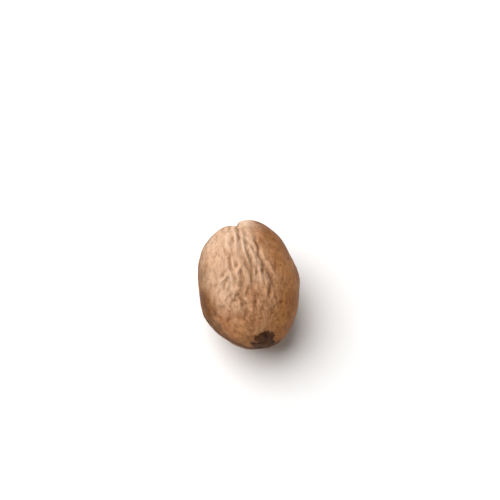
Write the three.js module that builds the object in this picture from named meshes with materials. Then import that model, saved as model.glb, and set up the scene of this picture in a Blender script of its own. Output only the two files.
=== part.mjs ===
// A whole dried nutmeg lying on its side, in millimetres, +Z up.
//
// The long axis runs along Y. The blunt end, where the hilum is, points to +Y, and the narrow
// end, where the dark chalaza is, points to -Y. The side with the strong wrinkles faces up.
// The origin is on the floor, under the middle of the nutmeg.
//
// A place on the skin is given by its turn, in degrees about the long axis from the top
// towards +X, and by its distance along the axis from the middle, positive to the blunt end.

import * as THREE from 'three';
import { mergeVertices } from 'three/addons/utils/BufferGeometryUtils.js';

const { clamp, degToRad, lerp, radToDeg } = THREE.MathUtils;

// Size of the smooth oval that the relief is laid on.
const LENGTH = 28;
const WIDTH = 20.9;
const DEPTH = 20;
const SQUARENESS = 2.15; // 2 is an ellipse, and more fills out the shoulders
const TAPER = 0.038; // share by which the blunt end is fuller than the middle

// How it lies: the narrow end dips a little, and the skin is flat where it meets the floor.
const PITCH = 2; // degrees
const FLAT_DEPTH = 0.2; // how far the flat spot cuts into the oval
const REST = { turn: 180, along: 0.7 }; // the middle of the flat spot
const REST_SMOOTH = [2.6, 4.8]; // the relief rises from nothing between these distances from it

// Mesh of the solid.
const SECTORS = 180;
const ROWS = 33;

// Broad swellings and flats that make the outline uneven.
const SWELLS = [
  { turn: 31, along: 12.2, spread: 3.1, rise: 0.48 }, // lobe beside the notch
  { turn: -18, along: 13.3, spread: 1.6, rise: -0.2 }, // dip left of the notch
  { turn: -38, along: 12.4, spread: 2, rise: 0.18 }, // rise left of that
  { turn: -80, along: 9.5, spread: 3, rise: 0.15 }, // left shoulder
  { turn: 80, along: 5.2, spread: 2.6, rise: -0.4 }, // flat on the right
  { turn: 88, along: -0.2, spread: 2.6, rise: 0.36 }, // belly on the right
  { turn: -100, along: -4.5, spread: 3.3, rise: 0.48 }, // bulge on the lower left
  { turn: -110, along: -11.3, spread: 2.6, rise: -0.36 }, // flat below it
  { turn: 110, along: -10, spread: 3.5, rise: -0.13 }, // flat on the lower right
  { turn: -160, along: -13.4, spread: 3, rise: -0.32 }, // flat under the narrow end
];
const UNEVEN = { count: 70, spread: 2.4, seed: 40 };
const UNEVEN_RISE = 0.09;

// Bumps and wave trains are scattered over a sphere of radius 1 and carried from it to the oval.
const NUDGE = 3.5; // length of the stretch that one is nudged along, times the root of their number
const LEAST_RING = 0.0316; // the least radius that the ring around the axis counts as having

// Grooves and ridges laid one by one: a route over the skin, its half width, and its depth or rise.
const GROOVES = [
  // the notch in the blunt end and the crease below it
  { route: [[-8, 13.95], [-10, 13.5], [-9, 12.8], [-5, 11.9]], half: 0.65, depth: 1.25 },
  { route: [[-2, 12.2], [-2, 10.6], [-3, 8.8], [-5, 6.5], [-4, 4.9], [-7, 3.3]], half: 0.38, depth: 0.34 },
  // valleys of the wrinkled band, from its left to its right
  { route: [[-22, 5.2], [-20, 3], [-21, 1], [-19, -0.7], [-19, -2.8]], half: 0.38, depth: 0.32 },
  { route: [[-11, 8.2], [-14, 6.6], [-14, 5], [-15, 3.2]], half: 0.37, depth: 0.3 },
  { route: [[-13, 1.9], [-14, 0.4]], half: 0.35, depth: 0.28 },
  { route: [[-9, 0], [-11, -1.8], [-12, -3.3], [-13, -4.8]], half: 0.4, depth: 0.38 },
  { route: [[-5, 2.8], [-2, 0.6], [1, -1.3]], half: 0.45, depth: 0.28 },
  { route: [[4, 8.6], [4, 6.4], [2, 4.4], [4, 2], [4, 0.3], [1, -2.7], [-1, -4.6]], half: 0.44, depth: 0.34 },
  { route: [[8, 4.5], [11, 3.6]], half: 0.3, depth: 0.2 },
  { route: [[9, 0.1], [8, -1.2], [7, -2.3]], half: 0.36, depth: 0.26 },
  { route: [[17, 0.3], [16, -0.8], [13, -1.6]], half: 0.35, depth: 0.24 },
  {
    route: [[17, 7.2], [15, 5.6], [15, 4], [14, 2.3], [18, 0.9], [20, -1], [24, -2.6], [28, -4.9]],
    half: 0.4,
    depth: 0.34,
  },
  { route: [[23, -4.1], [19, -6.2]], half: 0.38, depth: 0.26 },
  // where the band runs out
  { route: [[-20, -4.8], [-18, -5.9], [-16, -7.2], [-16, -8.9], [-20, -9.7]], half: 0.42, depth: 0.38 },
  { route: [[-30, -5.8], [-26, -6.2]], half: 0.3, depth: 0.2 },
  { route: [[-30, -7], [-27, -7.6]], half: 0.3, depth: 0.18 },
  { route: [[-6, -4.4], [-8, -5.1], [-11, -5.7]], half: 0.38, depth: 0.24 },
  { route: [[-44, -8.7], [-51, -9.2]], half: 0.32, depth: 0.16 },
  { route: [[2, -5.9], [1, -6.9], [0, -8]], half: 0.32, depth: 0.22 },
  // short strokes on the left, and upright ones on the right
  { route: [[-26, 0.9], [-30, 0.1], [-36, -0.5]], half: 0.32, depth: 0.24 },
  { route: [[-25, -0.9], [-30, -1.7], [-34, -2.4], [-35, -3.4]], half: 0.34, depth: 0.26 },
  { route: [[-43, -1.2], [-46, -2.4]], half: 0.34, depth: 0.22 },
  { route: [[-52, 0.5], [-53, 0]], half: 0.3, depth: 0.16 },
  { route: [[-26, -4.3], [-29, -5.1]], half: 0.28, depth: 0.22 },
  { route: [[-51, -5.4], [-49, -6.3]], half: 0.3, depth: 0.16 },
  { route: [[-43, -6], [-44, -6.7]], half: 0.3, depth: 0.2 },
  { route: [[43, -0.9], [42, -2.3]], half: 0.25, depth: 0.2 },
  { route: [[44, -3.4], [44, -4.6]], half: 0.25, depth: 0.18 },
  { route: [[38, -5.9], [39, -7.7]], half: 0.28, depth: 0.2 },
];
const RIDGES = [
  { route: [[-25, 9.4], [-21, 7.8], [-19, 5.8], [-17, 4.2], [-17, 2.3], [-18, 0.4]], half: 0.38, rise: 0.26 },
  {
    route: [[-9, 9], [-9, 7], [-10, 5.3], [-12, 2.8], [-9, 0.7], [-15, -0.8], [-16, -2], [-18, -4.3]],
    half: 0.38,
    rise: 0.24,
  },
  { route: [[-2, 7.3], [-1, 4.6], [-2, 3], [1, 1.2]], half: 0.3, rise: 0.2 },
  { route: [[8, 9.2], [10, 7.2], [11, 5.2], [14, 3.6]], half: 0.45, rise: 0.22 },
  { route: [[3, 5.2], [5, 3.8], [8, 2.3], [7, 0.1]], half: 0.4, rise: 0.28 },
  { route: [[18, 3.6], [19, 2.1], [20, 1.3]], half: 0.36, rise: 0.2 },
  { route: [[22, 0.8], [25, -0.3], [26, -1.3], [32, -3.3]], half: 0.42, rise: 0.26 },
  { route: [[5, -0.6], [5, -1.7]], half: 0.28, rise: 0.18 },
  { route: [[10, -0.8], [11, -2.4], [13, -4.5]], half: 0.36, rise: 0.24 },
  { route: [[17, -3.4], [16, -5.1], [13, -6.9]], half: 0.36, rise: 0.22 },
  { route: [[24, -5.4], [23, -6.9]], half: 0.3, rise: 0.18 },
  { route: [[-21, 0.3], [-23, -1.1], [-23, -2.4]], half: 0.34, rise: 0.2 },
  { route: [[-28, -0.6], [-32, -1.1], [-37, -1.4]], half: 0.3, rise: 0.22 },
  { route: [[-28, -2.1], [-31, -3.3]], half: 0.26, rise: 0.2 },
  { route: [[-31, -4.1], [-35, -4.6], [-39, -5.2]], half: 0.3, rise: 0.2 },
  { route: [[-24, -4.4], [-26, -5.5]], half: 0.28, rise: 0.2 },
  { route: [[-38, -2], [-39, -3]], half: 0.34, rise: 0.14 },
  { route: [[-35, -6.1], [-34, -6.9], [-35, -7.6]], half: 0.4, rise: 0.16 },
  { route: [[-21, -6.5], [-23, -8]], half: 0.3, rise: 0.3 },
  { route: [[-12, -6.2], [-11, -7.3]], half: 0.36, rise: 0.2 },
  { route: [[-5, -7.6], [-8, -9.1]], half: 0.34, rise: 0.16 },
];
const END_STRENGTH = 0.25; // share of its height that a stroke keeps at its ends

// Wrinkles: short wave trains scattered over the skin, whose crests run lengthwise.
const WRINKLES = {
  count: 1300,
  seed: 3,
  spacing: 1.6, // from crest to crest
  spacingShare: 0.25, // each train's own spacing differs by up to this share
  along: 2.2, // how far a train reaches along its crests
  across: 1.1, // and across them
  swing: 18, // degrees by which its crests may turn off the long axis
  cut: 2.6, // a train ends this many reaches from its middle
  thickness: 3, // and doesn't touch the far side of a sharp bend
};
const WRINKLE_RISE = 0.3;

// Profile across a wrinkle.
const ROUNDNESS = 0.85; // below 1 the crests are broader than the valleys
const LEVEL = 0.5; // share of the wrinkle's height that lies below the skin
const FAINTNESS = 0.5; // the larger it is, the fainter the wrinkles where the trains cancel

// Regions of the skin. An edge is a pair: nothing at the first and full at the second. Inner and
// outer edges are turns, and the edges on the sides of the two ends are distances along.

// Where the crests lean off the long axis, in degrees, positive to the lower left.
const LEANS = [
  { lean: 34, inner: [-10, -30], outer: [-75, -50], narrow: [-7, -3], blunt: [6, 2] },
  { lean: -13, inner: [-12, 2], outer: [60, 30], narrow: [-7, -4], blunt: [11, 8] },
];

// The wrinkled band, which runs down from beside the notch and fades past the middle.
const BAND = {
  leftEdge: [-33, -22],
  right: 17, // turn of the right edge
  bulge: 4, // degrees that the right edge moves out past the middle
  bulgeAlong: [3, -1],
  tuck: 10, // degrees that it moves in towards the blunt end
  tuckAlong: [8, 12],
  rightFade: [14, -4], // measured from the right edge
  bluntEdge: [13.6, 11],
  narrowEdge: [-8, -2],
  narrowSlope: 12, // degrees of turn over which the narrow edge moves by 1 mm
  calm: 0.6, // share by which it calms down in the middle of its lower part
  calmTurn: [16, 6],
  calmAlong: [-1.5, -3.5],
  least: 0.35,
  patchy: 0.25,
};

// Fainter wrinkles beside the band, towards the narrow end, elsewhere on top and underneath.
const LEFT_SIDE = {
  strength: 0.3,
  inner: [-20, -30],
  outer: [-72, -52],
  narrow: [-9, -6],
  blunt: [3.5, 0.5],
};
const NARROW_END = { strength: 0.2, turn: [25, 5], along: [-4, -8] };
const QUIET = { least: 0.05, patchy: 0.2, turn: [40, 25] };
const UNDERSIDE = { least: 0.3, patchy: 0.6 };
const TOP_SIDE = [105, 68]; // turns between which the underside's wrinkles give way to the top's
const AXIS_SMOOTH = [0.5, 3.5]; // the wrinkles rise from nothing between these distances from the axis

// Patches of stronger wrinkles.
const PATCHES = { count: 60, spread: 2.6, seed: 60 };
const PATCH_EDGE = [-0.7, 0.9];

// Chalaza: a dark sunken scar at the narrow tip, in two hollows. Hilum: a dimple at the blunt tip.
const HOLLOW_RIM = 1.3; // share of a hollow's radius at which it starts to sink
const HOLLOW_FLOOR = 0.4; // and within which it has its full depth
const HOLLOWS = [
  { turn: 16, along: -13.35, radius: 2.1, depth: 0.28 },
  { turn: 35, along: -13.98, radius: 2.5, depth: 0.15 },
  { turn: 0, along: 13.99, radius: 1.3, depth: 0.35 },
];

/** Goes smoothly from 0 at `from` to 1 at `to`, whichever of the two is larger. */
function ramp(from, to, value) {
  const t = clamp((value - from) / (to - from), 0, 1);
  return t * t * (3 - 2 * t);
}

/** A repeatable random number from 0 to 1 for item k of the series `seed`. */
function chance(k, seed) {
  const swing = Math.sin(k * 12.9898 + seed * 78.233) * 43758.5453;
  return swing - Math.floor(swing);
}

/** The point of the oval in a direction from its middle. */
function oval(direction) {
  const fullness = 1 + TAPER * direction.y;
  const girth = Math.hypot(direction.x / (WIDTH / 2), direction.z / (DEPTH / 2)) / fullness;
  const reach = Math.abs(direction.y) / (LENGTH / 2);
  const radius = (reach ** SQUARENESS + girth ** SQUARENESS) ** (-1 / SQUARENESS);
  return direction.clone().multiplyScalar(radius);
}

/** The point of the oval at a turn about the long axis and a distance along it. */
function onSkin(turn, along) {
  const share = along / (LENGTH / 2);
  const girth = (1 - Math.abs(share) ** SQUARENESS) ** (1 / SQUARENESS) * (1 + TAPER * share);
  const angle = degToRad(turn);
  return new THREE.Vector3(
    (WIDTH / 2) * girth * Math.sin(angle),
    along,
    (DEPTH / 2) * girth * Math.cos(angle),
  );
}

/** The direction straight out of the skin at a point of the oval. */
function outward(point) {
  return new THREE.Vector3(point.x / WIDTH ** 2, point.y / LENGTH ** 2, point.z / DEPTH ** 2).normalize();
}

function turnOf(point) {
  return radToDeg(Math.atan2(point.x, point.z));
}

/** Points spread evenly over the oval, each nudged a little off its place. */
function scatter(count, seed) {
  const goldenAngle = Math.PI * (3 - Math.sqrt(5));
  const nudge = NUDGE / Math.sqrt(count);
  return Array.from({ length: count }, (_, i) => {
    const k = i + 0.5;
    const y = clamp(1 - (2 * (k + chance(k, seed) - 0.5)) / count, -1, 1);
    const ring = Math.sqrt(1 - y * y);
    const angle = k * goldenAngle + ((chance(k, seed + 1) - 0.5) * nudge) / Math.max(ring, LEAST_RING);
    return oval(new THREE.Vector3(ring * Math.cos(angle), y, ring * Math.sin(angle)));
  });
}

/** A smooth random height, about -1 to 1, built from broad bumps and hollows. */
function unevenness({ count, spread, seed }) {
  const bumps = scatter(count, seed).map((centre, i) => ({
    centre,
    height: (chance(i + 0.5, seed + 7) < 0.5 ? -1 : 1) * (0.5 + chance(i + 0.5, seed + 9)),
  }));
  return (point) =>
    bumps.reduce(
      (sum, { centre, height }) =>
        sum + height * Math.exp(-point.distanceToSquared(centre) / (2 * spread ** 2)),
      0,
    );
}

/** A ridge or a groove along a route: strongest on its line and fainter towards its two ends. */
function stroke({ route, half }, rise) {
  const stops = route.map(([turn, along]) => onSkin(turn, along));
  const nearest = new THREE.Vector3();
  const stretch = new THREE.Line3();
  return (point) => {
    let gap = Infinity;
    let place = 0;
    for (let i = 0; i < stops.length - 1; i += 1) {
      stretch.set(stops[i], stops[i + 1]);
      const t = stretch.closestPointToPointParameter(point, true);
      const distance = stretch.at(t, nearest).distanceTo(point);
      if (distance < gap) {
        gap = distance;
        place = (i + t) / (stops.length - 1);
      }
    }
    const fade = lerp(END_STRENGTH, 1, Math.sqrt(4 * place * (1 - place)));
    return rise * fade * Math.exp(-((gap / half) ** 2));
  };
}

/** How far inside a region of the skin a point lies, from 0 outside to 1 within its soft edges. */
function inside({ inner, outer, narrow, blunt }, point) {
  const turn = turnOf(point);
  return ramp(...inner, turn) * ramp(...outer, turn) * ramp(...narrow, point.y) * ramp(...blunt, point.y);
}

/** How far the crests lean at a point, in degrees, positive to the lower left. */
function slantAt(point) {
  return LEANS.reduce((sum, region) => sum + region.lean * inside(region, point), 0);
}

/** Scattered wave trains added up as complex numbers, so that their crests join and fork. */
function wrinkles({ count, seed, spacing, spacingShare, along, across, swing, cut, thickness }) {
  const lengthwise = new THREE.Vector3(0, 1, 0);
  const trains = scatter(count, seed).map((centre, i) => {
    const k = i + 0.5;
    const normal = outward(centre);
    const meridian = lengthwise.clone().addScaledVector(normal, -normal.y).normalize();
    const sideways = new THREE.Vector3().crossVectors(meridian, normal);
    const angle = degToRad(swing * (2 * chance(k, seed + 2) - 1) + slantAt(centre));
    const wave = spacing * (1 + spacingShare * (2 * chance(k, seed + 3) - 1));
    return {
      centre,
      normal,
      crest: meridian.clone().multiplyScalar(Math.cos(angle)).addScaledVector(sideways, Math.sin(angle)),
      cross: sideways.clone().multiplyScalar(Math.cos(angle)).addScaledVector(meridian, -Math.sin(angle)),
      pace: (2 * Math.PI) / wave,
      start: 2 * Math.PI * chance(k, seed + 4),
    };
  });
  const offset = new THREE.Vector3();
  return (point) => {
    let real = 0;
    let imaginary = 0;
    for (const train of trains) {
      offset.subVectors(point, train.centre);
      const v = offset.dot(train.crest) / along;
      const u = offset.dot(train.cross);
      const w = offset.dot(train.normal);
      if (Math.abs(v) < cut && Math.abs(u) < cut * across && Math.abs(w) < thickness) {
        const weight = Math.exp(-0.5 * (v * v + (u / across) ** 2));
        real += weight * Math.cos(train.pace * u + train.start);
        imaginary += weight * Math.sin(train.pace * u + train.start);
      }
    }
    return crestHeight(real, imaginary);
  };
}

/** Height of a summed wave: rounded crests with narrower valleys, fainter where trains cancel. */
function crestHeight(real, imaginary) {
  const strength = Math.hypot(real, imaginary);
  const crest = ((1 + Math.cos(Math.atan2(imaginary, real))) / 2) ** ROUNDNESS;
  return ((crest - LEVEL) * strength) / (strength + FAINTNESS);
}

/** How strongly the skin is wrinkled at a point, from 0 to 1. */
function wrinkling(point, patch) {
  const turn = turnOf(point);
  const y = point.y;
  const bulge = BAND.bulge * ramp(...BAND.bulgeAlong, y);
  const tuck = BAND.tuck * ramp(...BAND.tuckAlong, y);
  const band =
    ramp(...BAND.leftEdge, turn) *
    ramp(...BAND.rightFade, turn - BAND.right - bulge + tuck) *
    ramp(...BAND.bluntEdge, y) *
    ramp(...BAND.narrowEdge, y + turn / BAND.narrowSlope) *
    (1 - BAND.calm * ramp(...BAND.calmTurn, Math.abs(turn)) * ramp(...BAND.calmAlong, y)) *
    (BAND.least + BAND.patchy * patch);
  const leftSide = LEFT_SIDE.strength * inside(LEFT_SIDE, point);
  const narrowEnd = NARROW_END.strength * ramp(...NARROW_END.turn, turn) * ramp(...NARROW_END.along, y);
  const quiet = QUIET.least + QUIET.patchy * patch * ramp(...QUIET.turn, turn);
  const top = Math.max(band, leftSide, narrowEnd, quiet);
  const underside = UNDERSIDE.least + UNDERSIDE.patchy * patch;
  return lerp(underside, top, ramp(...TOP_SIDE, Math.abs(turn)));
}

/** A round hollow with a soft rim. */
function hollow(point, { turn, along, radius, depth }) {
  const gap = point.distanceTo(onSkin(turn, along));
  return -depth * ramp(radius * HOLLOW_RIM, radius * HOLLOW_FLOOR, gap);
}

/** Gives the height of the relief over any point of the oval. */
function relief() {
  const uneven = unevenness(UNEVEN);
  const patches = unevenness(PATCHES);
  const strokes = [
    ...GROOVES.map((groove) => stroke(groove, -groove.depth)),
    ...RIDGES.map((ridge) => stroke(ridge, ridge.rise)),
  ];
  const wrinkleHeight = wrinkles(WRINKLES);
  const restMiddle = onSkin(REST.turn, REST.along);
  return (point) => {
    const offRest = ramp(...REST_SMOOTH, point.distanceTo(restMiddle));
    const offAxis = ramp(...AXIS_SMOOTH, Math.hypot(point.x, point.z));
    const strength = offAxis * wrinkling(point, ramp(...PATCH_EDGE, patches(point)));
    let height = offRest * (UNEVEN_RISE * uneven(point) + WRINKLE_RISE * strength * wrinkleHeight(point));
    for (const { turn, along, spread, rise } of SWELLS) {
      height += rise * Math.exp(-point.distanceToSquared(onSkin(turn, along)) / spread ** 2);
    }
    for (const strokeHeight of strokes) {
      height += strokeHeight(point);
    }
    for (const place of HOLLOWS) {
      height += hollow(point, place);
    }
    return height;
  };
}

/** Lays the nutmeg on the floor and flattens what would reach below it. */
function layDown(point) {
  point.applyAxisAngle(new THREE.Vector3(1, 0, 0), degToRad(PITCH));
  point.z = Math.max(point.z + DEPTH / 2 - FLAT_DEPTH, 0);
  return point;
}

function nutmegGeometry() {
  const sphere = new THREE.SphereGeometry(1, SECTORS, ROWS);
  sphere.deleteAttribute('normal');
  sphere.deleteAttribute('uv');
  const geometry = mergeVertices(sphere);
  const positions = geometry.getAttribute('position');
  const heightAt = relief();
  const vertex = new THREE.Vector3();
  for (let i = 0; i < positions.count; i += 1) {
    const skin = oval(vertex.fromBufferAttribute(positions, i).normalize());
    skin.addScaledVector(outward(skin), heightAt(skin));
    positions.setXYZ(i, ...layDown(skin));
  }
  geometry.computeVertexNormals();
  return geometry;
}

const shell = new THREE.MeshStandardMaterial({ color: 0xc39468, roughness: 0.6, metalness: 0 });
const nutmeg = new THREE.Mesh(nutmegGeometry(), shell);
nutmeg.name = 'nutmeg';

const group = new THREE.Group();
group.add(nutmeg);

export default group;
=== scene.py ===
"""A whole dried nutmeg, lying on its side on a pale floor.

The nutmeg's long axis runs along Y, with the blunt end and its hilum at +Y and the narrow end
and its dark chalaza at -Y. The wrinkled side faces up. Shapes are worked out in millimetres
and become metres as the mesh is made.

A place on the skin is given by its turn, in degrees about the long axis from the top towards
+X, and by its distance along the axis from the middle, positive to the blunt end.
"""

import math

import bmesh
import bpy
import numpy as np
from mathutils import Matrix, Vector


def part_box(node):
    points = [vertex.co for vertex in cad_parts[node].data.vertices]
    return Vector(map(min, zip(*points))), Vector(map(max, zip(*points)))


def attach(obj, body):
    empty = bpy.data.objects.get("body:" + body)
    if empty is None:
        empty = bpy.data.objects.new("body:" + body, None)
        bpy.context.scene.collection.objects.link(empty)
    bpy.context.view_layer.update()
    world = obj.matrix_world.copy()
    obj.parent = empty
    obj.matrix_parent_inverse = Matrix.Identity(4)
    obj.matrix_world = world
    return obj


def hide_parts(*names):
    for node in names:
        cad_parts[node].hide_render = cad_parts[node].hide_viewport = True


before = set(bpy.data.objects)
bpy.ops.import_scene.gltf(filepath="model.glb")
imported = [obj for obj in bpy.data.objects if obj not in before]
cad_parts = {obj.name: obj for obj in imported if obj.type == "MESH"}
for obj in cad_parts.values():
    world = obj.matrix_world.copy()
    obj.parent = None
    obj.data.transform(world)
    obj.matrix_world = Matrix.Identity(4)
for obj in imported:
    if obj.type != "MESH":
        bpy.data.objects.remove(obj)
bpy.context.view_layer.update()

bl_info = {
    "name": "Whole nutmeg",
    "version": (1, 0, 0),
    "blender": (4, 5, 0),
    "location": "3D View > Sidebar > Nutmeg",
    "description": "Makes a whole dried nutmeg and the pale studio that it lies in",
    "category": "Object",
}

MM = 0.001
NODE = "nutmeg"
BODY = "root"

# Broad swellings and flats of the outline: turn, along, spread and rise.
SWELLS = (
    (31, 12.2, 3.1, 0.48),  # lobe beside the notch
    (-80, 9.5, 3.0, 0.15),  # left shoulder
    (80, 5.2, 2.6, -0.4),  # flat on the right
    (88, -0.2, 2.6, 0.36),  # belly on the right
    (-18, 13.3, 1.6, -0.2),  # dip left of the notch
    (-38, 12.4, 2, 0.18),  # rise left of that
    (-100, -4.5, 3.3, 0.48),  # bulge on the lower left
    (-110, -11.3, 2.6, -0.36),  # flat below it
    (110, -10, 3.5, -0.13),  # flat on the lower right
    (-160, -13.4, 3, -0.32),  # flat under the narrow end
)

# Grooves and ridges laid one by one: the route, the half width and the depth or height.
GROOVES = (
    # the notch in the blunt end and the crease below it
    (((-8, 13.95), (-10, 13.5), (-9, 12.8), (-5, 11.9)), 0.65, 1.25),
    (((-2, 12.2), (-2, 10.6), (-3, 8.8), (-5, 6.5), (-4, 4.9), (-7, 3.3)), 0.38, 0.34),
    # valleys of the wrinkled band, from its left to its right
    (((-22, 5.2), (-20, 3), (-21, 1), (-19, -0.7), (-19, -2.8)), 0.38, 0.32),
    (((-11, 8.2), (-14, 6.6), (-14, 5), (-15, 3.2)), 0.37, 0.3),
    (((-13, 1.9), (-14, 0.4)), 0.35, 0.28),
    (((-9, 0), (-11, -1.8), (-12, -3.3), (-13, -4.8)), 0.4, 0.38),
    (((-5, 2.8), (-2, 0.6), (1, -1.3)), 0.45, 0.28),
    (((4, 8.6), (4, 6.4), (2, 4.4), (4, 2), (4, 0.3), (1, -2.7), (-1, -4.6)), 0.44, 0.34),
    (((8, 4.5), (11, 3.6)), 0.3, 0.2),
    (((9, 0.1), (8, -1.2), (7, -2.3)), 0.36, 0.26),
    (((17, 0.3), (16, -0.8), (13, -1.6)), 0.35, 0.24),
    (((17, 7.2), (15, 5.6), (15, 4), (14, 2.3), (18, 0.9), (20, -1), (24, -2.6), (28, -4.9)), 0.4, 0.34),
    (((23, -4.1), (19, -6.2)), 0.38, 0.26),
    # where the band runs out
    (((-20, -4.8), (-18, -5.9), (-16, -7.2), (-16, -8.9), (-20, -9.7)), 0.42, 0.38),
    (((-30, -5.8), (-26, -6.2)), 0.3, 0.2),
    (((-30, -7), (-27, -7.6)), 0.3, 0.18),
    (((-6, -4.4), (-8, -5.1), (-11, -5.7)), 0.38, 0.24),
    (((-44, -8.7), (-51, -9.2)), 0.32, 0.16),
    (((2, -5.9), (1, -6.9), (0, -8)), 0.32, 0.22),
    # short strokes on the left, and upright ones on the right
    (((-26, 0.9), (-30, 0.1), (-36, -0.5)), 0.32, 0.24),
    (((-25, -0.9), (-30, -1.7), (-34, -2.4), (-35, -3.4)), 0.34, 0.26),
    (((-43, -1.2), (-46, -2.4)), 0.34, 0.22),
    (((-52, 0.5), (-53, 0)), 0.3, 0.16),
    (((-26, -4.3), (-29, -5.1)), 0.28, 0.22),
    (((-51, -5.4), (-49, -6.3)), 0.3, 0.16),
    (((-43, -6), (-44, -6.7)), 0.3, 0.2),
    (((43, -0.9), (42, -2.3)), 0.25, 0.2),
    (((44, -3.4), (44, -4.6)), 0.25, 0.18),
    (((38, -5.9), (39, -7.7)), 0.28, 0.2),
)
RIDGES = (
    (((-25, 9.4), (-21, 7.8), (-19, 5.8), (-17, 4.2), (-17, 2.3), (-18, 0.4)), 0.38, 0.26),
    (((-9, 9), (-9, 7), (-10, 5.3), (-12, 2.8), (-9, 0.7), (-15, -0.8), (-16, -2), (-18, -4.3)), 0.38, 0.24),
    (((-2, 7.3), (-1, 4.6), (-2, 3), (1, 1.2)), 0.3, 0.2),
    (((8, 9.2), (10, 7.2), (11, 5.2), (14, 3.6)), 0.45, 0.22),
    (((3, 5.2), (5, 3.8), (8, 2.3), (7, 0.1)), 0.4, 0.28),
    (((18, 3.6), (19, 2.1), (20, 1.3)), 0.36, 0.2),
    (((22, 0.8), (25, -0.3), (26, -1.3), (32, -3.3)), 0.42, 0.26),
    (((5, -0.6), (5, -1.7)), 0.28, 0.18),
    (((10, -0.8), (11, -2.4), (13, -4.5)), 0.36, 0.24),
    (((17, -3.4), (16, -5.1), (13, -6.9)), 0.36, 0.22),
    (((24, -5.4), (23, -6.9)), 0.3, 0.18),
    (((-21, 0.3), (-23, -1.1), (-23, -2.4)), 0.34, 0.2),
    (((-28, -0.6), (-32, -1.1), (-37, -1.4)), 0.3, 0.22),
    (((-28, -2.1), (-31, -3.3)), 0.26, 0.2),
    (((-31, -4.1), (-35, -4.6), (-39, -5.2)), 0.3, 0.2),
    (((-24, -4.4), (-26, -5.5)), 0.28, 0.2),
    (((-38, -2), (-39, -3)), 0.34, 0.14),
    (((-35, -6.1), (-34, -6.9), (-35, -7.6)), 0.4, 0.16),
    (((-21, -6.5), (-23, -8)), 0.3, 0.3),
    (((-12, -6.2), (-11, -7.3)), 0.36, 0.2),
    (((-5, -7.6), (-8, -9.1)), 0.34, 0.16),
)

# Scattered bumps and hollows, about 1 high: how many there are, how broad each is, and their seed.
UNEVEN_BUMPS = (70, 2.4, 40)
WRINKLED_BUMPS = (60, 2.6, 60)
KNOB_BUMPS = (1500, 0.42, 120)
SCAR_BUMPS = (900, 0.5, 80)
# The next one makes the painted warm shade uneven.
PAINTED_WARM_SHADE_BUMPS = (90, 1.9, 50)
PATCH_BUMPS = (120, 1.5, 70)
# The next two make the edge of the painted shade ragged and leave gaps in it.
PAINTED_SHADE_EDGE_BUMPS = (150, 1.3, 75)
PAINTED_SHADE_GAP_BUMPS = (110, 1.8, 85)
UNEVEN_RISE = 0.09
KNOB_RISE = 0.07

# Bumps, pits and wave trains are scattered over a sphere of radius 1 and carried from it to the oval.
NUDGE = 3.5
LEAST_RING = 0.0316

# Scattered wave trains: how many, their seed, how far they reach along and across their crests, and
# by how many degrees the crests swing to either side.
COARSE_TRAINS = {"count": 1300, "seed": 3, "along": 2.2, "across": 1.1, "swing": 18}
FINE_TRAINS = {"count": 5200, "seed": 11, "along": 1, "across": 0.45, "swing": 28}
FINE_SPACING = 0.62
SPACING_SHARE = 0.25  # by which the spacing differs from train to train

# Pits: how many places there are for one, their seed, and the least and the most that they measure.
PIT_PLACES = 1500
PIT_SEED = 90
PIT_RADIUS = (0.1, 0.24)
PIT_DEPTH = (0.02, 0.1)
# The places of single pits of the largest size.
LARGE_PITS = ((35, -10.7), (25, -8.5), (41, -4.4), (35, -7.6), (-1, -7.3), (40, 0.2))

# The thin pale line that runs up from the scar at the narrow end.
SEAM = ((11, -10.4), (10, -11.1), (9, -11.6), (0, -12.2), (-5, -12.5))
SEAM_HALF = 0.22
SEAM_STRENGTH = 1.2

# Pale patches: the place, the distances from it where the patch is full and gone, and the strength.
PALE_PATCHES = (
    ((-33, -0.5), 2, 7, 0.6),  # on the left
    ((-38, 8), 1.5, 5, 0.4),  # left shoulder
    ((-12, 7), 1.5, 5, 0.8),  # upper end of the wrinkled band
    ((8, 8.5), 1, 4, 0.4),  # and right of it
    # The next two are painted light: a highlight on the lip of the notch, where the key light falls, and
    # bounce light on the right flank.
    ((8, 11.8), 1.2, 3.4, 0.9),  # lip of the notch
    ((56, -2), 1, 4, 0.5),  # right flank
    ((5, 1.3), 1, 3.6, 0.5),  # middle of the band
)
# And darker ones.
DARK_PATCHES = (
    ((-5, -5.8), 0.8, 2.8, 0.14),  # below the band
    ((-19, -9.5), 0.8, 2.8, 0.18),  # and further down
)

REST_PLACE = (180, 0.7)  # the middle of the flat spot

# The chalaza's scar: the round patches that make it up, each with its radius.
SCAR_PATCHES = (
    ((16, -13.3), 1.85),
    ((35, -13.98), 2.4),
    ((-6, -13.3), 1.15),
    ((-36, -13.6), 0.4),
    ((-22, -13.75), 0.6),
)
# The hollows in it: the place, the radius and the depth.
SCAR_HOLLOWS = (
    ((16, -13.35), 2.1, 0.28),
    ((35, -13.98), 2.5, 0.15),
)
# The darkest lines in it, and their half width.
CHARRED = (
    ((-41, -13.5), (-29, -13.7), (-16, -13.8), (7, -13.9)),
    ((8, -12.8), (16, -13.3), (25, -13.7)),
    ((47, -13.3), (60, -13.5)),
)
CHARRED_HALF = 0.4
SCAR_RISE = 0.1  # of its rough bottom
SCAR_FADE = 2.4  # millimetres over which its mark fades, for the material to cut where it likes

# The hilum: a dimple with a raised rim round it and a small eye in it.
HILUM_PLACE = (0, 13.99)
HILUM_RADIUS = 1.3
HILUM_DEPTH = 0.35
RIM_RADIUS = 1.35 * HILUM_RADIUS
RIM_HALF = 0.5
RIM_RISE = 0.1
EYE_RADIUS = 0.75
EYE_DEPTH = 0.3

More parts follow.
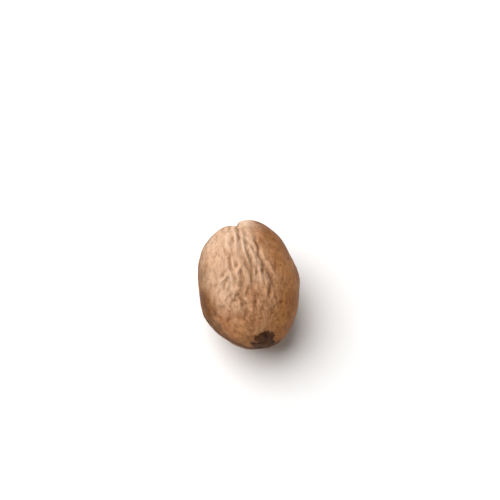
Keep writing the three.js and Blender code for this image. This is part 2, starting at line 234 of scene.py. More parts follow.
KEY_DIRECTION = Vector((-0.44, 0.38, 0.81))  # from the nutmeg to the key light
KEY_DISTANCE = 0.3  # metres


# ---- Small helpers ----


def ramp(start, end, value):
    """Goes smoothly from 0 at start to 1 at end, whichever of the two is larger."""
    t = np.clip((value - start) / (end - start), 0, 1)
    return t * t * (3 - 2 * t)


def zone(value, start, full, still_full, end):
    """Goes smoothly from 0 at start to 1 at full, stays there, and is back at 0 at end."""
    return ramp(start, full, value) * ramp(end, still_full, value)


def chance(k, seed):
    """Repeatable random numbers from 0 to 1 for items k of the series seed."""
    # The three numbers have no meaning: they only have to scatter what comes out.
    swing = np.sin(k * 12.9898 + seed * 78.233) * 43758.5453
    return swing - np.floor(swing)


def unit(vectors):
    """The same directions, each of length 1."""
    return vectors / np.maximum(np.linalg.norm(vectors, axis=1), 1e-9)[:, None]


def turn_of(points):
    """Each point's turn about the long axis, in degrees."""
    return np.degrees(np.arctan2(points[:, 0], points[:, 2]))


# ---- The nutmeg's form, in millimetres ----


class Oval:
    """The smooth oval that the relief is laid on."""

    def __init__(self, shape):
        # Half the width, length and depth, along X, Y and Z.
        self.half = np.array([shape.width, shape.length, shape.depth]) / 2 / MM
        self.power = shape.squareness
        self.taper = shape.taper

    def reach(self, directions):
        """The point of the oval in each direction from its middle."""
        x, y, z = (directions / self.half).T
        girth = np.hypot(x, z) / (1 + self.taper * directions[:, 1])
        radius = (np.abs(y) ** self.power + girth**self.power) ** (-1 / self.power)
        return directions * radius[:, None]

    def on_skin(self, turn, along):
        """The point at a turn about the long axis and a distance along it."""
        share = along / self.half[1]
        girth = (1 - abs(share) ** self.power) ** (1 / self.power) * (1 + self.taper * share)
        angle = math.radians(turn)
        return np.array([math.sin(angle) * girth, share, math.cos(angle) * girth]) * self.half

    def outward(self, points):
        """The direction straight out of the skin at each point."""
        return unit(points / self.half**2)

    def scatter(self, count, seed):
        """Points spread evenly over the oval, each nudged a little off its place."""
        k = np.arange(count) + 0.5
        y = np.clip(1 - 2 * (k + chance(k, seed) - 0.5) / count, -1, 1)
        ring = np.sqrt(1 - y * y)
        golden_angle = math.pi * (3 - math.sqrt(5))
        nudge = NUDGE / math.sqrt(count) / np.maximum(ring, LEAST_RING)
        angle = k * golden_angle + (chance(k, seed + 1) - 0.5) * nudge
        return self.reach(np.stack([ring * np.cos(angle), y, ring * np.sin(angle)], 1))


class Skin:
    """The points of a mesh on the oval, kept in order along the axis so that what is local is quick."""

    def __init__(self, oval, points):
        self.oval = oval
        self.order = np.argsort(points[:, 1])
        self.points = points[self.order]
        self.turn = turn_of(self.points)
        self.y = self.points[:, 1]

    def restored(self, values):
        """Values in the order of the mesh's own points."""
        back = np.empty_like(values)
        back[self.order] = values
        return back

    def slices(self, centres, reach):
        """For each centre, the run of points that lie within reach of it along the axis."""
        low = np.searchsorted(self.y, centres[:, 1] - reach)
        high = np.searchsorted(self.y, centres[:, 1] + reach)
        return [slice(a, b) for a, b in zip(low, high)]

    def distance(self, place):
        """How far each point is from a place on the skin."""
        return np.linalg.norm(self.points - self.oval.on_skin(*place), axis=1)

    def unevenness(self, count, spread, seed):
        """A smooth random height, about -1 to 1, built from broad bumps and hollows."""
        centres = self.oval.scatter(count, seed)
        k = np.arange(count) + 0.5
        heights = np.where(chance(k, seed + 7) < 0.5, -1, 1) * (0.5 + chance(k, seed + 9))
        faded = 4 * spread
        total = np.zeros(len(self.points))
        for centre, height, run in zip(centres, heights, self.slices(centres, faded)):
            gap = ((self.points[run] - centre) ** 2).sum(1)
            total[run] += height * np.exp(-gap / (2 * spread**2))
        return total

    def stroke(self, route, half, rise):
        """A ridge or a groove along a route: strongest on its line and fainter towards its ends."""
        stops = [self.oval.on_skin(*stop) for stop in route]
        gap = np.full(len(self.points), np.inf)
        place = np.zeros(len(self.points))
        for i, (start, end) in enumerate(zip(stops, stops[1:])):
            stretch = end - start
            t = np.clip((self.points - start) @ stretch / (stretch @ stretch), 0, 1)
            distance = np.linalg.norm(self.points - start - t[:, None] * stretch, axis=1)
            near = distance < gap
            gap[near] = distance[near]
            place[near] = ((i + t) / (len(stops) - 1))[near]
        fade = 0.25 + 0.75 * np.sqrt(4 * place * (1 - place))
        return rise * fade * np.exp(-((gap / half) ** 2))

    def wrinkles(self, count, seed, spacing, along, across, swing):
        """Scattered wave trains added up as complex numbers, so that their crests join and fork."""
        centres = self.oval.scatter(count, seed)
        k = np.arange(count) + 0.5
        normal = self.oval.outward(centres)
        meridian = unit(np.array([0, 1, 0]) - normal * normal[:, 1:2])
        sideways = np.cross(meridian, normal)
        angle = np.radians(swing * (2 * chance(k, seed + 2) - 1) + slant_at(centres))[:, None]
        crest = meridian * np.cos(angle) + sideways * np.sin(angle)
        cross = sideways * np.cos(angle) - meridian * np.sin(angle)
        pace = 2 * math.pi / (spacing * (1 + SPACING_SHARE * (2 * chance(k, seed + 3) - 1)))
        start = 2 * math.pi * chance(k, seed + 4)
        # A train is left out where it has faded, and on the far side of the nutmeg.
        cut = 2.6
        thickness = 3
        total = np.zeros(len(self.points), complex)
        for i, run in enumerate(self.slices(centres, cut * along)):
            offset = self.points[run] - centres[i]
            v = offset @ crest[i] / along
            u = offset @ cross[i]
            near = (np.abs(v) < cut) & (np.abs(u) < cut * across) & (np.abs(offset @ normal[i]) < thickness)
            near = np.nonzero(near)[0]
            weight = np.exp(-0.5 * (v[near] ** 2 + (u[near] / across) ** 2))
            total[near + run.start] += weight * np.exp(1j * (pace[i] * u[near] + start[i]))
        return crest_height(total)

    def dimples(self, centres, radius, depth):
        """Small round pits at the centres."""
        total = np.zeros(len(self.points))
        for centre, r, d, run in zip(centres, radius, depth, self.slices(centres, 3 * radius.max())):
            gap = ((self.points[run] - centre) ** 2).sum(1)
            total[run] = np.minimum(total[run], -d * np.exp(-gap / r**2))
        return total


def slant_at(points):
    """How far the crests lean at each point, in degrees, positive to the lower left."""
    turn = turn_of(points)
    y = points[:, 1]
    left = zone(turn, -75, -50, -30, -10) * zone(y, -7, -3, 2, 6)
    right = zone(turn, -12, 2, 30, 60) * zone(y, -7, -4, 8, 11)
    return 34 * left - 13 * right


def crest_height(wave):
    """Height of a summed wave: rounded crests, narrower valleys, fainter where trains cancel."""
    roundness = 0.85
    half_strength = 0.5
    strength = np.abs(wave)
    crest = ((1 + np.cos(np.angle(wave))) / 2) ** roundness
    return (crest - 0.5) * strength / (strength + half_strength)


# In what follows, the ramps and zones of a turn are in degrees, and those of y or a distance are in
# millimetres.


def wrinkling(skin):
    """How strongly the skin is wrinkled at each point, from 0 to 1."""
    turn, y = skin.turn, skin.y
    patch = ramp(-0.7, 0.9, skin.unevenness(*WRINKLED_BUMPS))
    # The wrinkled band runs down from beside the notch and fades past the middle.
    right_edge = 17 + 4 * ramp(3, -1, y) - 10 * ramp(8, 12, y)
    band = zone(turn, -33, -22, right_edge - 4, right_edge + 14) * (0.35 + 0.25 * patch)
    band = band * ramp(-8, -2, y + turn / 12) * ramp(13.6, 11, y)
    band = band * (1 - 0.6 * ramp(16, 6, np.abs(turn)) * ramp(-1.5, -3.5, y))
    left_side = 0.3 * zone(turn, -72, -52, -30, -20) * zone(y, -9, -6, 0.5, 3.5)
    quiet = 0.05 + 0.2 * patch * ramp(40, 25, turn)
    narrow_end = 0.2 * ramp(-4, -8, y) * ramp(25, 5, turn)
    top = np.maximum.reduce([band, quiet, left_side, narrow_end])
    underside = 0.3 + 0.6 * patch
    share = ramp(105, 68, np.abs(turn))
    return underside + (top - underside) * share


def mostly_small(limits, chances):
    """Measures between two limits, more of them near the smaller one."""
    least, most = limits
    return least + (most - least) * chances**2


def pits(skin):
    """Places, radii and depths of the small pits, thickest towards the narrow end."""
    centres = skin.oval.scatter(PIT_PLACES, PIT_SEED)
    k = np.arange(PIT_PLACES) + 0.5
    wanted = 0.1 + 0.2 * ramp(-3, -10, centres[:, 1])
    kept = chance(k, PIT_SEED + 5) < wanted
    radius = mostly_small(PIT_RADIUS, chance(k, PIT_SEED + 6))
    depth = mostly_small(PIT_DEPTH, chance(k, PIT_SEED + 7))
    large = [skin.oval.on_skin(*place) for place in LARGE_PITS]
    centres = np.concatenate([centres[kept], large])
    radius = np.append(radius[kept], [max(PIT_RADIUS)] * len(large))
    depth = np.append(depth[kept], [max(PIT_DEPTH)] * len(large))
    return centres, radius, depth


def painted_warm_shading(skin):
    """How much painted warm shade turns the skin from its pale colour to a saturated brown, from 0 to 1: on
    the right side, the narrow end, the lower part, the left limb and a little over the middle.
    """
    turn, y = skin.turn, skin.y
    right = 0.45 * ramp(0, 20, turn) * ramp(10.5, 7.5, y) + 0.55 * ramp(12, 52, turn)
    right = np.maximum(right, ramp(30, 52, turn)) * (1 - 0.5 * ramp(80, 125, turn))
    # Less painted shade at this spot on the right flank, for painted bounce light there.
    right = right - 0.12 * ramp(4, 1, skin.distance((52, -2)))
    narrow_end = 0.75 * ramp(-4, -12, y)
    lower = (0.6 + 0.25 * ramp(-7, -11, y)) * ramp(0, -5, y) * zone(turn, -24, -4, 60, 90)
    left = 0.7 * ramp(-48, -85, turn + 2.5 * y) * (1 - 0.5 * ramp(-90, -130, turn))
    middle = 0.35 * ramp(9, 1, y) * (1 - 0.5 * ramp(-14, -30, turn))
    strongest = np.maximum.reduce([right, narrow_end, lower, left, middle])
    return np.clip(strongest + 0.12 * skin.unevenness(*PAINTED_WARM_SHADE_BUMPS), 0, 1)


def patchiness(skin, patches):
    """How strong the patches are at each point: the strongest of those that reach it."""
    ragged = skin.unevenness(*PATCH_BUMPS)
    strengths = [
        strength * ramp(gone, full, skin.distance(place) + 0.15 * gone * ragged)
        for place, full, gone, strength in patches
    ]
    return np.maximum.reduce(strengths)


def painted_shade(skin):
    """How much painted shade darkens the skin, from 0 to 1: on the left flank, the right shoulder and round
    the tip.
    """
    turn, y = skin.turn, skin.y
    edge = -38 + 4 * np.exp(-(((y + 5) / 1.6) ** 2)) - 14 * ramp(-5, -8, y)
    edge = edge - 4 * ramp(-1.5, 1, y) - 8 * ramp(2, 5, y) * ramp(11, 8.5, y)
    edge = edge + 4 * skin.unevenness(*PAINTED_SHADE_EDGE_BUMPS)
    flank = ramp(edge, edge - 42, turn) * ramp(13.5, 11.5, y) * ramp(-135, -88, turn)
    gaps = ramp(-72, -92, turn) * ramp(-0.4, 0.8, skin.unevenness(*PAINTED_SHADE_GAP_BUMPS))
    flank = flank * (1 - 0.7 * gaps)
    shoulder = 0.35 * zone(turn, 15, 40, 100, 130) * ramp(2, 7, y)
    # Painted shade round the tip, under it and beside the scar, where the rim comes down to the floor.
    under_scar = ramp(-12.4, -13.4, y) * ramp(60, 110, np.abs(turn))
    beside_scar = 0.4 * ramp(-12, -13, y) * zone(turn, -90, -60, -22, -5)
    return np.maximum.reduce([flank, shoulder, under_scar, beside_scar])


def hollow(gap, radius):
    """How deep a round hollow is, from 0 to 1, at distances from its middle."""
    return ramp(radius * 1.3, radius * 0.4, gap)


def broad_form(skin, off_rest):
    """Height of the swellings and flats of the outline, and of the gentle bumps all over."""
    form = UNEVEN_RISE * off_rest * skin.unevenness(*UNEVEN_BUMPS)
    for turn, along, spread, rise in SWELLS:
        form += rise * np.exp(-(skin.distance((turn, along)) ** 2) / spread**2)
    return form


def knobbliness(skin):
    """Small knobs, strongest on the lower left."""
    lower_left = ramp(2, -20, skin.turn) * zone(skin.y, -13, -10.5, -5.5, -1.5)
    return (0.25 + 0.75 * lower_left) * skin.unevenness(*KNOB_BUMPS)


def chalaza(skin):
    """The scar at the narrow end: its height, where it is, and how charred it is."""
    rough = skin.unevenness(*SCAR_BUMPS)
    gap = np.minimum.reduce([skin.distance(place) - radius for place, radius in SCAR_PATCHES])
    scar = np.clip(0.5 - (gap + 0.25 * rough) / SCAR_FADE, 0, 1)
    height = SCAR_RISE * rough * ramp(0.3, 0.7, scar)
    for place, radius, depth in SCAR_HOLLOWS:
        height -= depth * hollow(skin.distance(place), radius)
    lines = sum(skin.stroke(line, CHARRED_HALF, 1) for line in CHARRED)
    charred = np.clip(lines + 0.35 * ramp(0.3, -0.5, rough), 0, 1)
    return height, scar, charred


def hilum(skin):
    """The scar at the blunt end: its height, where it is, and where its eye is."""
    gap = skin.distance(HILUM_PLACE)
    eye = ramp(EYE_RADIUS, 0.4 * EYE_RADIUS, gap)
    rim = np.exp(-(((gap - RIM_RADIUS) / RIM_HALF) ** 2))
    height = RIM_RISE * rim - HILUM_DEPTH * hollow(gap, HILUM_RADIUS) - EYE_DEPTH * eye
    healed = ramp(2.6, 1.2, gap)
    return height, healed, eye


def relief(skin, shape):
    """Height of the skin over the oval, and what the material needs to know about each point."""
    off_axis = ramp(0.5, 3.5, np.hypot(skin.points[:, 0], skin.points[:, 2]))
    off_rest = ramp(2.6, 4.8, skin.distance(REST_PLACE))
    strength = wrinkling(skin) * off_axis * off_rest
    coarse = strength * skin.wrinkles(spacing=shape.wrinkle_spacing / MM, **COARSE_TRAINS)
    fine = skin.wrinkles(spacing=FINE_SPACING, **FINE_TRAINS)
    fine = (0.15 + 0.85 * strength) * fine * off_axis
    laid = sum(skin.stroke(route, half, -depth) for route, half, depth in GROOVES)
    laid += sum(skin.stroke(*ridge) for ridge in RIDGES)
    knobs = knobbliness(skin) * off_axis
    pit = skin.dimples(*pits(skin))
    chalaza_height, scarred, charred = chalaza(skin)
    hilum_height, healed, eye = hilum(skin)
    height = broad_form(skin, off_rest) + KNOB_RISE * knobs + laid + pit
    height += shape.wrinkle_rise / MM * coarse + shape.fine_rise / MM * fine
    height += chalaza_height + hilum_height
    dark = patchiness(skin, DARK_PATCHES)
    marks = {
        # Crest tone: the skin's own paler crests, and in the valleys and laid grooves a darkening that is
        # partly painted shade.
        "crest": np.clip(0.6 + 0.9 * coarse + 0.28 * fine + 0.15 * knobs + 1.2 * laid - dark, 0, 1),
        "pit": np.clip(-pit / max(PIT_DEPTH) + eye, 0, 1),
        "scar": scarred,
        "char": charred,
        "hilum": healed,
        # Painted warm shade: a darker, more saturated brown on the right side, the narrow end, the lower
        # part and the left limb.
        "painted_warm_shade": painted_warm_shading(skin),
        # Pale patches: the skin's own bloom, with painted light on the lip of the notch and on the right
        # flank.
        "bloom_and_painted_light": patchiness(skin, PALE_PATCHES),
        # Painted shade on the left flank, the right shoulder and round the tip.
        "painted_shade": painted_shade(skin),
        "seam": np.clip(skin.stroke(SEAM, SEAM_HALF, SEAM_STRENGTH), 0, 1),
    }
    return height, marks


def laid_down(points, shape):
    """Tips the narrow end down, lifts the nutmeg onto the floor and flattens what would go below it."""
    pitch, lift = shape.pitch, (shape.depth / 2 - shape.flat_depth) / MM
    x, y, z = points.T
    low = y * math.sin(pitch) + z * math.cos(pitch) + lift
    return np.stack([x, y * math.cos(pitch) - z * math.sin(pitch), np.maximum(low, 0)], 1)


def cube_mesh(name, divisions):
    """A cube of even squares, from -1 to 1 on each axis, that is to be blown up into a ball."""
    grown = bmesh.new()
    bmesh.ops.create_cube(grown, size=2)
    bmesh.ops.subdivide_edges(grown, edges=grown.edges, cuts=divisions - 1, use_grid_fill=True)
    mesh = bpy.data.meshes.new(name)
    grown.to_mesh(mesh)
    grown.free()
    return mesh


def shaped_nutmeg(name, shape):
    """The nutmeg's mesh, with its marks as attributes of the points."""
    mesh = cube_mesh(name, shape.divisions)
    cube = np.empty(len(mesh.vertices) * 3)
    mesh.vertices.foreach_get("co", cube)
    # The tangent makes the squares nearly even on the ball.
    directions = unit(np.tan(cube.reshape(-1, 3) * math.pi / 4))
    oval = Oval(shape)
    skin = Skin(oval, oval.reach(directions))
    height, marks = relief(skin, shape)
    raised = skin.points + oval.outward(skin.points) * height[:, None]
    placed = skin.restored(laid_down(raised, shape)) * MM
    mesh.vertices.foreach_set("co", placed.ravel())
    for mark, values in marks.items():
        attribute = mesh.attributes.new(mark, "FLOAT", "POINT")
        attribute.data.foreach_set("value", skin.restored(values).astype(np.float32))
    mesh.shade_smooth()
    mesh.update()
    return mesh


# ---- Materials ----


class Value:
    """A number that differs over a surface. Arithmetic on it adds Math nodes."""

    def __init__(self, recipe, socket):
        self.recipe = recipe
        self.socket = socket

    def _math(self, operation, a, b):
        node = self.recipe.add("ShaderNodeMath", {"operation": operation}, {0: a, 1: b})
        return Value(self.recipe, node.outputs[0])

    def __add__(self, other):
        return self._math("ADD", self, other)

    def __sub__(self, other):
        return self._math("SUBTRACT", self, other)

    def __rsub__(self, other):
        return self._math("SUBTRACT", other, self)

    def __mul__(self, other):
        return self._math("MULTIPLY", self, other)

    __radd__ = __add__
    __rmul__ = __mul__

    def between(self, low, high):
        """0 at low and below, 1 at high and above."""
        node = self.recipe.add(
            "ShaderNodeMapRange",
            {"interpolation_type": "SMOOTHSTEP"},
            {0: self, 1: low, 2: high},
        )
        return Value(self.recipe, node.outputs[0])


class Recipe:
    """Builds the nodes of one material or world."""

    def __init__(self, owner):
        owner.use_nodes = True
        self.owner = owner
        self.tree = owner.node_tree

    def add(self, kind, settings=None, sockets=None):
        """Adds a node, sets it up, and fills or links its sockets."""
        node = self.tree.nodes.new(kind)
        for name, value in (settings or {}).items():
            setattr(node, name, value)
        for key, value in (sockets or {}).items():
            self.feed(node.inputs[key], value)
        return node

    def feed(self, socket, value):
        """Links a value or a socket to the socket, or writes a number or a colour into it."""
        if isinstance(value, Value):
            value = value.socket
        if isinstance(value, bpy.types.NodeSocket):
            self.tree.links.new(value, socket)
        elif hasattr(value, "__len__") and len(value) == 3 and socket.type == "RGBA":
            socket.default_value = (*value, 1)
        else:
            socket.default_value = value

    def finished(self, look):
        """The material, once the sockets of its surface have the values or links of the look."""
        surface = self.tree.nodes["Principled BSDF"]
        for name, value in look.items():
            self.feed(surface.inputs[name], value)
        return self.owner

    def mark(self, name):
        """A mark that the mesh carries for each of its points."""
        node = self.add("ShaderNodeAttribute", {"attribute_name": name})
        return Value(self, node.outputs["Fac"])

    def grain(self, size, stretch=(1, 1, 1), detail=2, shift=0):
        """Noise from 0 to 1 whose blots are about size metres across."""
        place = self.add("ShaderNodeTexCoord").outputs["Object"]
        spread = tuple(1 / (size * s) for s in stretch)
        moved = self.add(
            "ShaderNodeMapping", None, {"Vector": place, "Scale": spread, "Location": (shift,) * 3}
        )
        noise = self.add(
            "ShaderNodeTexNoise", None, {"Vector": moved.outputs[0], "Scale": 1, "Detail": detail}
        )
        return Value(self, noise.outputs[0])

    def mix(self, factor, first, second, blend="MIX"):
        """The first colour where the factor is 0 and the second where it is 1."""
        # A Mix node has its colours on sockets 6 and 7 and gives the mixed one on 2.
        node = self.add(
            "ShaderNodeMix", {"data_type": "RGBA", "blend_type": blend}, {0: factor, 6: first, 7: second}
        )
        return node.outputs[2]


class SkinRecipe(Recipe):
    """Dry brown skin, with a scar at each end."""

    def __init__(self, colours):
        super().__init__(bpy.data.materials.new("nutmeg skin"))
        self.colours = colours
        self.crest = self.mark("crest")
        self.mottle = self.grain(1 * MM, stretch=(1, 2, 1), detail=3, shift=3)
        self.speckle = self.grain(0.45 * MM, stretch=(1, 2, 1), shift=9)
        self.fibre = self.grain(0.35 * MM, stretch=(1, 7, 1), shift=5)

    def frayed(self, value, mottling, speckling):
        """A value made uneven, for tones that vary and edges that are ragged."""
        return value + (self.mottle - 0.5) * mottling + (self.speckle - 0.5) * speckling

    def bare_skin(self):
        """Pale crests and dark valleys, the valleys partly darkened as painted shade; blotches; bloom, with
        some painted light; and pores.
        """
        blotch = self.grain(4.5 * MM, detail=3).between(0.42, 0.66)
        dust = self.grain(3.4 * MM, detail=3, shift=7).between(0.45, 0.68)
        pore = self.grain(0.28 * MM, detail=1, shift=11).between(0.66, 0.78)
        # The bloom mark is partly the skin's own pale bloom and partly painted light on the lip of the notch
        # and the right flank.
        bloom_and_painted_light = self.mark("bloom_and_painted_light")
        tone = self.frayed(self.crest, 1.3, 1.4) + (self.fibre - 0.5) * 0.3
        # Valleys and grooves are darker partly as painted shade; the crests are paler in their own colour.
        colour = self.mix(tone.between(0.05, 1.0), self.colours.valley_and_painted_shade, self.colours.crest)
        colour = self.mix(blotch * (0.45 - bloom_and_painted_light * 0.2), colour, self.colours.blotch)
        colour = self.mix((dust * 0.3 + bloom_and_painted_light * 0.75) * self.crest, colour, self.colours.dust)
        colour = self.mix(pore * 0.35, colour, self.colours.pore)
        return self.mix(self.mark("pit") * 0.6, colour, self.colours.pore)

    def aged(self, colour):
        """Browns the skin where it is rubbed, darkens its stains and lays the seam over it."""
        # Painted warm shade darkens and saturates the right side, the narrow end, the lower part and the
        # left limb.
        colour = self.mix(self.mark("painted_warm_shade"), colour, self.colours.painted_warm_shade, "MULTIPLY")
        # Painted shade darkens the left flank, the right shoulder and the tip.
        colour = self.mix(self.mark("painted_shade"), colour, self.colours.painted_shade, "MULTIPLY")
        return self.mix(self.mark("seam") * 0.4, colour, self.colours.seam)

    def with_hilum(self, colour):
        """Lays the pale ragged patch and its dark eye over the skin."""
        healed = self.frayed(self.mark("hilum"), 0.9, 0.5).between(0.25, 0.8)
        colour = self.mix(healed * 0.65, colour, self.colours.hilum)
        return self.mix(healed * self.mark("pit") * 0.75, colour, self.colours.pore)

    def with_chalaza(self, colour):
        """Lays the dark ragged scar over the skin."""
        charred = self.frayed(self.mark("char"), 2, 0.8).between(-0.1, 0.9)
        burnt = self.mix(charred, self.colours.scar, self.colours.char)
        scarred = self.frayed(self.mark("scar"), 0.5, 0.4).between(0.4, 0.56)
        return self.mix(scarred * (0.78 + self.speckle * 0.4), colour, burnt)

    def grit(self):
        """A fine bump."""
        height = self.grain(0.16 * MM, shift=2) * 0.6 + self.fibre * 0.7 + self.mottle * 0.8
        bump = self.add("ShaderNodeBump", None, {"Strength": 0.55, "Distance": 0.06 * MM, "Height": height})
        return bump.outputs[0]


def skin_material(colours):
    """The nutmeg's skin: nearly matt, a little smoother on the crests."""
    recipe = SkinRecipe(colours)
    colour = recipe.aged(recipe.bare_skin())
    colour = recipe.with_chalaza(recipe.with_hilum(colour))
    roughness = 0.62 + (recipe.mottle - 0.5) * 0.2 - recipe.crest * 0.08
    look = {
        "Base Color": colour,
        "Roughness": roughness,
        "Specular IOR Level": 0.1,
        "Normal": recipe.grit(),
    }
    return recipe.finished(look)


def floor_material(colour):
    """Matt pale studio floor."""
    recipe = Recipe(bpy.data.materials.new("studio floor"))
    return recipe.finished({"Base Color": colour, "Roughness": 0.9})


def studio_sky(studio):
    """Light from all round, with a white backdrop that only the camera sees."""
    recipe = Recipe(bpy.data.worlds.new("studio_sky"))
    light = recipe.tree.nodes["Background"]
    recipe.feed(light.inputs["Color"], studio.sky_colour)
    recipe.feed(light.inputs["Strength"], studio.sky)
    backdrop = recipe.add("ShaderNodeBackground", None, {"Color": studio.backdrop})
    seen = recipe.add("ShaderNodeLightPath").outputs["Is Camera Ray"]
    either = recipe.add(
        "ShaderNodeMixShader", None, {0: seen, 1: light.outputs[0], 2: backdrop.outputs[0]}
    )
    recipe.feed(recipe.tree.nodes["World Output"].inputs["Surface"], either.outputs[0])
    return recipe.owner


# ---- What a user can change ----


class NutmegShape(bpy.types.PropertyGroup):
    """Size of the nutmeg, how it lies, and how deep its relief is."""

    length: bpy.props.FloatProperty(
        name="Length", description="End to end along the long axis", default=0.028, unit="LENGTH"
    )
    width: bpy.props.FloatProperty(
        name="Width", description="Across the wrinkled face", default=0.0209, unit="LENGTH"
    )
    depth: bpy.props.FloatProperty(
        name="Depth", description="From the wrinkled face to the underside", default=0.02, unit="LENGTH"
    )
    squareness: bpy.props.FloatProperty(
        name="Squareness", description="2 is an ellipse, and more fills out the shoulders", default=2.15
    )
    taper: bpy.props.FloatProperty(
        name="Taper", description="Share by which the blunt end is fuller than the middle", default=0.038
    )
    pitch: bpy.props.FloatProperty(
        name="Pitch", description="How far the narrow end dips", default=math.radians(2), subtype="ANGLE"
    )
    flat_depth: bpy.props.FloatProperty(
        name="Flat depth", description="How far the flat spot cuts in", default=0.0002, unit="LENGTH"
    )
    wrinkle_spacing: bpy.props.FloatProperty(
        name="Wrinkle spacing", description="From crest to crest", default=0.0016, unit="LENGTH"
    )
    wrinkle_rise: bpy.props.FloatProperty(
        name="Wrinkle rise", description="Height of the strongest wrinkles", default=0.0003, unit="LENGTH"
    )
    fine_rise: bpy.props.FloatProperty(
        name="Fine rise", description="Height of the fine wrinkles", default=0.00007, unit="LENGTH"
    )
    divisions: bpy.props.IntProperty(
        name="Divisions", description="Squares along each edge of the starting cube", default=126, min=4
    )


def colour_property(name, description, default):
    """A colour that a user can change."""
    return bpy.props.FloatVectorProperty(
        name=name, description=description, default=default, subtype="COLOR", min=0, max=1
    )


class NutmegColours(bpy.types.PropertyGroup):
    """Colours of the skin."""

    crest: colour_property("Crest", "Tops of the wrinkles", (0.47, 0.3, 0.195))
    # Between the wrinkles: partly the skin's own colour and partly painted shade.
    valley_and_painted_shade: colour_property("Valley and painted shade", "Between the wrinkles", (0.23, 0.125, 0.065))
    blotch: colour_property("Blotch", "Reddish brown blotches", (0.27, 0.125, 0.06))
    dust: colour_property("Dust", "Pale bloom on the crests", (0.62, 0.44, 0.315))
    pore: colour_property("Pore", "Pores and pits", (0.12, 0.05, 0.02))
    hilum: colour_property("Hilum", "Scar at the blunt end", (0.4, 0.28, 0.165))
    # Painted warm shade: what the skin keeps of each colour where it is full.
    painted_warm_shade: colour_property("Painted warm shade", "What the rubbed brown skin keeps of each colour", (0.86, 0.56, 0.27))
    # Painted shade: what the skin keeps of each colour where the painted shade is full.
    painted_shade: colour_property("Painted shade", "What the stained skin keeps of each colour", (0.34, 0.25, 0.1))
    seam: colour_property("Seam", "Line that runs up from the chalaza", (0.38, 0.27, 0.13))
    scar: colour_property("Chalaza", "Scar at the narrow end", (0.08, 0.026, 0.005))
    char: colour_property("Chalaza core", "Darkest parts of that scar", (0.03, 0.008, 0.001))


class StudioSettings(bpy.types.PropertyGroup):
    """Floor, lights and camera."""

    floor: colour_property("Floor", "Colour of the floor", (0.76, 0.76, 0.76))
    floor_size: bpy.props.FloatProperty(
        name="Floor size", description="Side of the square floor", default=3.0, unit="LENGTH"
    )
    sky_colour: colour_property("Sky colour", "Colour of the light from all round", (1, 0.93, 0.86))
    backdrop: colour_property("Backdrop", "Colour of what the camera sees past the floor", (1, 1, 1))
    sky: bpy.props.FloatProperty(
        name="Sky", description="Strength of the light from all round", default=0.28
    )
    key: bpy.props.FloatProperty(
        name="Key light", description="Strength of the key light", default=4.9
    )
    key_spread: bpy.props.FloatProperty(
        name="Key spread",
        description="How wide the key light looks",
        default=math.radians(80),
        subtype="ANGLE",
    )
    lens: bpy.props.FloatProperty(
        name="Lens", description="Focal length in millimetres", default=100
    )
    azimuth: bpy.props.FloatProperty(
        name="Azimuth", description="Camera's turn to the right", default=math.radians(-11), subtype="ANGLE"
    )
    elevation: bpy.props.FloatProperty(
        name="Elevation", description="Camera's height", default=math.radians(63), subtype="ANGLE"
    )
    view_width: bpy.props.FloatProperty(
        name="View width", description="Width of the view at the nutmeg", default=0.105, unit="LENGTH"
    )
    aim_right: bpy.props.FloatProperty(
        name="Aim right",
        description="How far right of the nutmeg the camera aims",
        default=0.00018,
        unit="LENGTH",
    )
    aim_up: bpy.props.FloatProperty(
        name="Aim up", description="How far above the nutmeg the camera aims", default=0.00742, unit="LENGTH"
    )


# ---- Operators ----


def view_axes(azimuth, elevation):
    """The directions back to the camera, to its right and up."""
    back = Vector(
        (
            math.sin(azimuth) * math.cos(elevation),
            -math.cos(azimuth) * math.cos(elevation),
            math.sin(elevation),
        )
    )
    right = Vector((math.cos(azimuth), math.sin(azimuth), 0))
    return back, right, back.cross(right)


def linked(name, data):
    """A new object with the data, in the scene."""
    made = bpy.data.objects.new(name, data)
    bpy.context.scene.collection.objects.link(made)
    return made


class NUTMEG_OT_make_nutmeg(bpy.types.Operator):
    """Make the nutmeg in place of its plain solid"""

    bl_idname = "nutmeg.make_nutmeg"
    bl_label = "Make nutmeg"

    def execute(self, context):
        mesh = shaped_nutmeg("nutmeg_skin", context.scene.nutmeg_shape)
        mesh.materials.append(skin_material(context.scene.nutmeg_colours))
        nutmeg = linked("nutmeg_skin", mesh)
        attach(nutmeg, BODY)
        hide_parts(NODE)
        return {"FINISHED"}


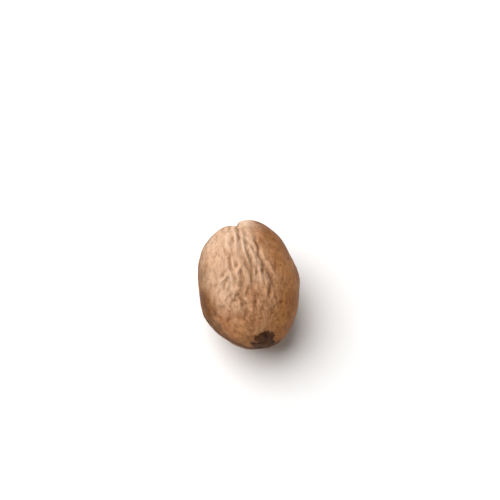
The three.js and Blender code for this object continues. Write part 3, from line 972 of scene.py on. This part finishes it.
class NUTMEG_OT_make_studio(bpy.types.Operator):
    """Make the pale floor, the soft lights and the camera"""

    bl_idname = "nutmeg.make_studio"
    bl_label = "Make studio"

    def execute(self, context):
        studio = context.scene.nutmeg_studio
        low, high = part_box(NODE)
        middle = (low + high) / 2
        self.make_floor(studio)
        self.make_key_light(studio, middle)
        self.make_camera(context, studio, middle)
        context.scene.world = studio_sky(studio)
        context.scene.view_settings.view_transform = "Standard"
        return {"FINISHED"}

    def make_floor(self, studio):
        """A flat square that the nutmeg lies on."""
        mesh = bpy.data.meshes.new("studio_floor")
        grown = bmesh.new()
        bmesh.ops.create_grid(grown, size=studio.floor_size / 2)
        grown.to_mesh(mesh)
        grown.free()
        mesh.materials.append(floor_material(studio.floor))
        linked("studio_floor", mesh)

    def make_key_light(self, studio, middle):
        """A broad sun from the upper left."""
        data = bpy.data.lights.new("key_light", "SUN")
        data.angle = studio.key_spread
        data.energy = studio.key
        key = linked("key_light", data)
        key.location = middle + KEY_DIRECTION * KEY_DISTANCE
        key.rotation_euler = KEY_DIRECTION.to_track_quat("Z", "Y").to_euler()

    def make_camera(self, context, studio, middle):
        """A long lens that looks down on the nutmeg."""
        data = bpy.data.cameras.new("camera")
        data.lens = studio.lens
        data.clip_start = 10 * MM
        camera = linked("camera", data)
        back, right, up = view_axes(studio.azimuth, studio.elevation)
        aim = middle + right * studio.aim_right + up * studio.aim_up
        camera.location = aim + back * (studio.view_width * data.lens / data.sensor_width)
        camera.rotation_euler = back.to_track_quat("Z", "Y").to_euler()
        context.scene.camera = camera


class NUTMEG_PT_panel(bpy.types.Panel):
    """Sizes, colours and the steps that make the scene"""

    bl_label = "Nutmeg"
    bl_idname = "NUTMEG_PT_panel"
    bl_space_type = "VIEW_3D"
    bl_region_type = "UI"
    bl_category = "Nutmeg"

    def draw(self, context):
        scene = context.scene
        for group, operator in (
            (scene.nutmeg_shape, NUTMEG_OT_make_nutmeg),
            (scene.nutmeg_colours, None),
            (scene.nutmeg_studio, NUTMEG_OT_make_studio),
        ):
            box = self.layout.box()
            for name in group.__annotations__:
                box.prop(group, name)
            if operator:
                box.operator(operator.bl_idname)


CLASSES = (
    NutmegShape,
    NutmegColours,
    StudioSettings,
    NUTMEG_OT_make_nutmeg,
    NUTMEG_OT_make_studio,
    NUTMEG_PT_panel,
)
SETTINGS = {
    "nutmeg_shape": NutmegShape,
    "nutmeg_colours": NutmegColours,
    "nutmeg_studio": StudioSettings,
}


def register():
    for kind in CLASSES:
        bpy.utils.register_class(kind)
    for name, kind in SETTINGS.items():
        setattr(bpy.types.Scene, name, bpy.props.PointerProperty(type=kind))


def unregister():
    for name in SETTINGS:
        delattr(bpy.types.Scene, name)
    for kind in reversed(CLASSES):
        bpy.utils.unregister_class(kind)


def main():
    register()
    bpy.ops.nutmeg.make_nutmeg()
    bpy.ops.nutmeg.make_studio()


if __name__ == "__main__":
    main()
